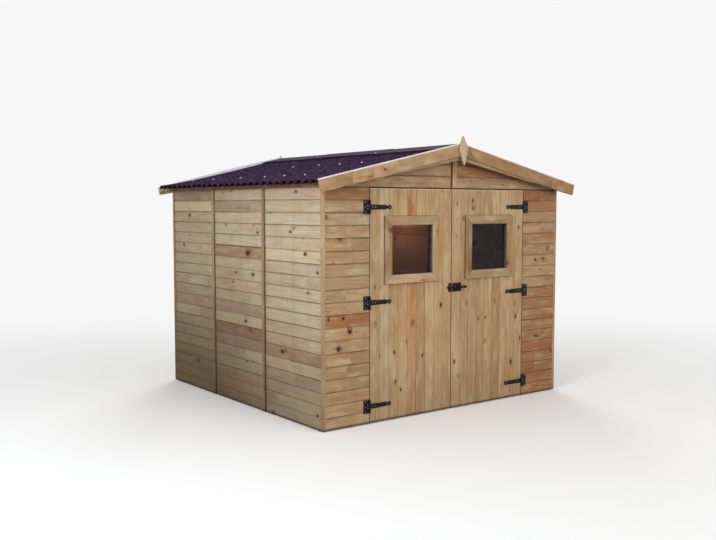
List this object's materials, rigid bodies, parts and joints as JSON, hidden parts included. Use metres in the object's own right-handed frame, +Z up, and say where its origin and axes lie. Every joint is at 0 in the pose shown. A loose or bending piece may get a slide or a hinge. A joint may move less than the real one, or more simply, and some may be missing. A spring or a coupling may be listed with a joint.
{
  "type": "wooden garden shed",
  "caption": "Timber apex shed with overlapped board walls, a corrugated roof and a pair of outward-opening doors, each with a small window.",
  "frame": {"origin": "centre of the footprint, at the underside of the bottom rails", "axes": "+X to the right seen from the doors, +Y from the doors to the rear wall, +Z up"},
  "size_m": [2.678, 2.656, 2.15],
  "materials": {
    "cladding": "sawn and planed softwood boards, clear treated",
    "door_boards": "planed softwood boards, clear treated",
    "trim": "planed softwood, clear treated",
    "framing": "sawn softwood",
    "roof_sheet": "matt dark bitumen fibre sheet",
    "black_steel": "black semi-gloss paint",
    "glass": "clear sheet glazing"
  },
  "bodies": {
    "shed": {"corner_trims": "trim", "cover_battens": "trim", "eave_purlins": "framing", "front_finial": "trim", "front_gable": "cladding", "front_left_bargeboard": "trim", "front_left_panel": "cladding", "front_right_bargeboard": "trim", "front_right_panel": "cladding", "front_wall_posts": "framing", "front_wall_rails": "framing", "gable_frames": "framing", "hinge_flanges": "black_steel", "left_roof_sheet": "roof_sheet", "left_wall_cladding": "cladding", "left_wall_rails": "framing", "left_wall_studs": "framing", "middle_purlins": "framing", "rear_finial": "trim", "rear_gable": "cladding", "rear_left_bargeboard": "trim", "rear_right_bargeboard": "trim", "rear_wall_cladding": "cladding", "rear_wall_rails": "framing", "rear_wall_studs": "framing", "ridge_beam": "framing", "ridge_cap": "roof_sheet", "right_roof_sheet": "roof_sheet", "right_wall_cladding": "cladding", "right_wall_rails": "framing", "right_wall_studs": "framing", "verge_battens": "trim"},
    "left_door": {"left_door_leaf": "door_boards", "left_door_ledges": "framing", "left_window_casing": "trim", "left_window_pane": "glass", "left_hinge_straps": "black_steel", "bolt_keeper": "black_steel"},
    "right_door": {"right_door_leaf": "door_boards", "right_door_ledges": "framing", "right_window_casing": "trim", "right_window_pane": "glass", "right_hinge_straps": "black_steel", "bolt_plate": "black_steel", "bolt_rod": "black_steel"}
  },
  "joints": [
    {"name": "left_door_hinge", "type": "hinge", "parent": "shed", "child": "left_door", "pos_m": [-0.818, -1.207, 0.904], "axis": [0, 0, -1], "range_deg": [0, 120]},
    {"name": "right_door_hinge", "type": "hinge", "parent": "shed", "child": "right_door", "pos_m": [0.818, -1.207, 0.904], "axis": [0, 0, 1], "range_deg": [0, 120]}
  ]
}
